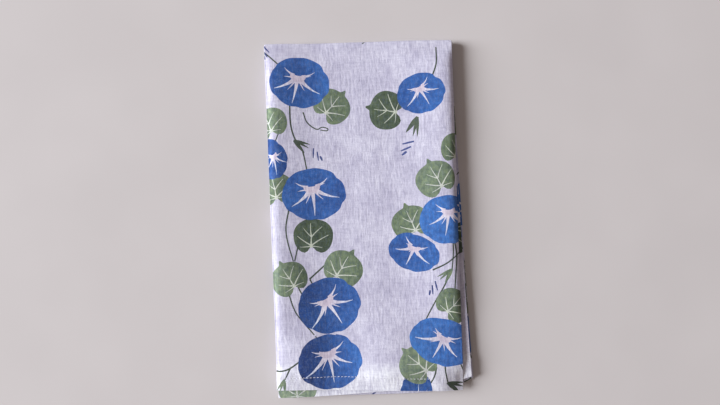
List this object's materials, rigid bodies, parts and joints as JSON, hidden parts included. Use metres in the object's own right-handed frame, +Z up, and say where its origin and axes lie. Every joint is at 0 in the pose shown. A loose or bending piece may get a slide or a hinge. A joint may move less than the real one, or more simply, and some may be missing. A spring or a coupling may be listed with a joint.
{
  "type": "folded tenugui towel",
  "caption": "Printed cotton hand towel with sewn hems, folded in three across its width and then twice along its length into a flat packet.",
  "frame": {"origin": "on the surface that the towel lies on, under the middle of its front length", "axes": "+Z up, out of the printed face that shows; +Y along the towel, towards its two folded top edges; +X across it, to the right of someone who looks down on the print"},
  "size_m": [0.1274, 0.23, 0.0078],
  "materials": {
    "printed_cotton": "plain-weave cotton with slub threads, white ground, matt"
  },
  "bodies": {
    "root": {"folded_cloth": "printed_cotton"}
  },
  "joints": []
}
